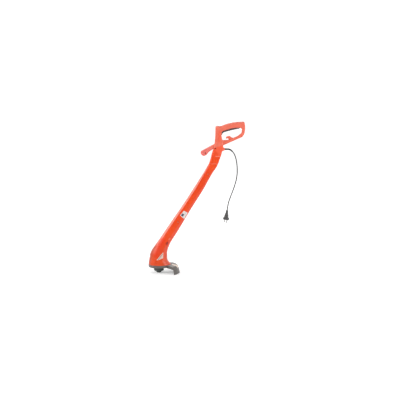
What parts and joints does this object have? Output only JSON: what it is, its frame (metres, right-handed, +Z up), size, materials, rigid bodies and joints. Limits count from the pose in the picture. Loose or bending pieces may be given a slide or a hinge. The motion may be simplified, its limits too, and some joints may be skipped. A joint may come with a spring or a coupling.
{
  "type": "string trimmer",
  "caption": "Corded garden string trimmer: curved moulded shaft, hand loop with long trigger, front grip, motor head with bump-feed spool, rear guard, mains lead and plug.",
  "frame": {"origin": "centre of the rear grip, on the parting plane of the shells, midway between the grip top and the trigger", "axes": "+Z up, +X back towards the operator, -X towards the cutting head, -Y the operator's left side; y = 0 is the parting plane of the shells"},
  "size_m": [0.6002, 0.1712, 0.9504],
  "materials": {
    "red_shell": "satin moulded ABS, red-orange",
    "black_plastic": "matte moulded plastic",
    "dark_plastic": "matte moulded nylon, dark grey",
    "grey_plastic": "satin moulded plastic, mid grey",
    "cord_rubber": "soft satin PVC, dark grey",
    "lead_rubber": "satin PVC insulation",
    "steel": "zinc-plated steel",
    "laminations": "stacked steel laminations",
    "copper": "enamelled copper wire",
    "bronze": "sintered bronze",
    "pin_brass": "nickel-plated brass",
    "carbon": "pressed carbon",
    "line_nylon": "extruded nylon line",
    "label": "printed film, satin"
  },
  "bodies": {
    "housing": {"left_handle_shell": "red_shell", "right_handle_shell": "red_shell", "left_shaft_shell": "red_shell", "right_shaft_shell": "red_shell", "handle_screws": "steel", "shaft_screws": "steel", "joint_screw": "steel", "trigger_pin": "steel", "trigger_spring": "steel", "switch_body": "black_plastic", "capacitor": "black_plastic", "supply_lead": "lead_rubber", "motor_lead": "lead_rubber", "clamp_bar": "black_plastic", "clamp_screws": "steel", "strain_relief": "cord_rubber", "power_cord": "cord_rubber", "plug_body": "cord_rubber", "plug_pins": "pin_brass", "guard": "grey_plastic", "guard_screws": "steel", "motor_screws": "steel", "line_cutter": "steel", "cutter_rivet": "steel", "lower_motor_bracket": "black_plastic", "upper_motor_bracket": "black_plastic", "lower_bearing": "bronze", "upper_bearing": "bronze", "stator_core": "laminations", "field_coils": "copper", "brush_holders": "pin_brass", "brushes": "carbon", "brush_springs": "steel", "shaft_label": "label", "motor_label": "label", "guard_label": "label"},
    "trigger": {"trigger": "black_plastic"},
    "switch_plunger": {"switch_plunger": "black_plastic"},
    "rotor": {"motor_shaft": "steel", "armature_core": "laminations", "armature_windings": "copper", "commutator": "copper", "fan": "black_plastic", "head_housing": "dark_plastic", "head_cover": "dark_plastic", "line_eyelets": "steel", "bump_spring": "steel"},
    "spring_washer": {"spring_washer": "steel"},
    "spool": {"spool": "dark_plastic", "line_winding": "line_nylon", "bump_knob": "dark_plastic"}
  },
  "joints": [
    {"name": "trigger_pivot", "type": "hinge", "parent": "housing", "child": "trigger", "pos_m": [0.052, 0, -0.004], "axis": [0, 1, 0], "range_deg": [0, 4.4], "stiffness_Nm_per_rad": 6, "springref_deg": -2.86, "deforming": ["trigger_spring"]},
    {"name": "switch_travel", "type": "slide", "parent": "housing", "child": "switch_plunger", "axis": [0, 0, 1], "range_m": [0, 0.0052]},
    {"name": "rotor_spin", "type": "hinge", "parent": "housing", "child": "rotor", "pos_m": [-0.452, 0, -0.87], "axis": [0, 0, 1], "continuous": true},
    {"name": "bump_travel", "type": "slide", "parent": "rotor", "child": "spring_washer", "axis": [0, 0, 1], "range_m": [0, 0.005], "stiffness_N_per_m": 1500, "springref_m": -0.004, "deforming": ["bump_spring"]},
    {"name": "spool_index", "type": "hinge", "parent": "spring_washer", "child": "spool", "pos_m": [-0.452, 0, -0.9], "axis": [0, 0, 1], "continuous": true}
  ],
  "couplings": [
    {"joint": "switch_travel", "follows": "trigger_pivot", "m_per_rad": 0.064}
  ]
}
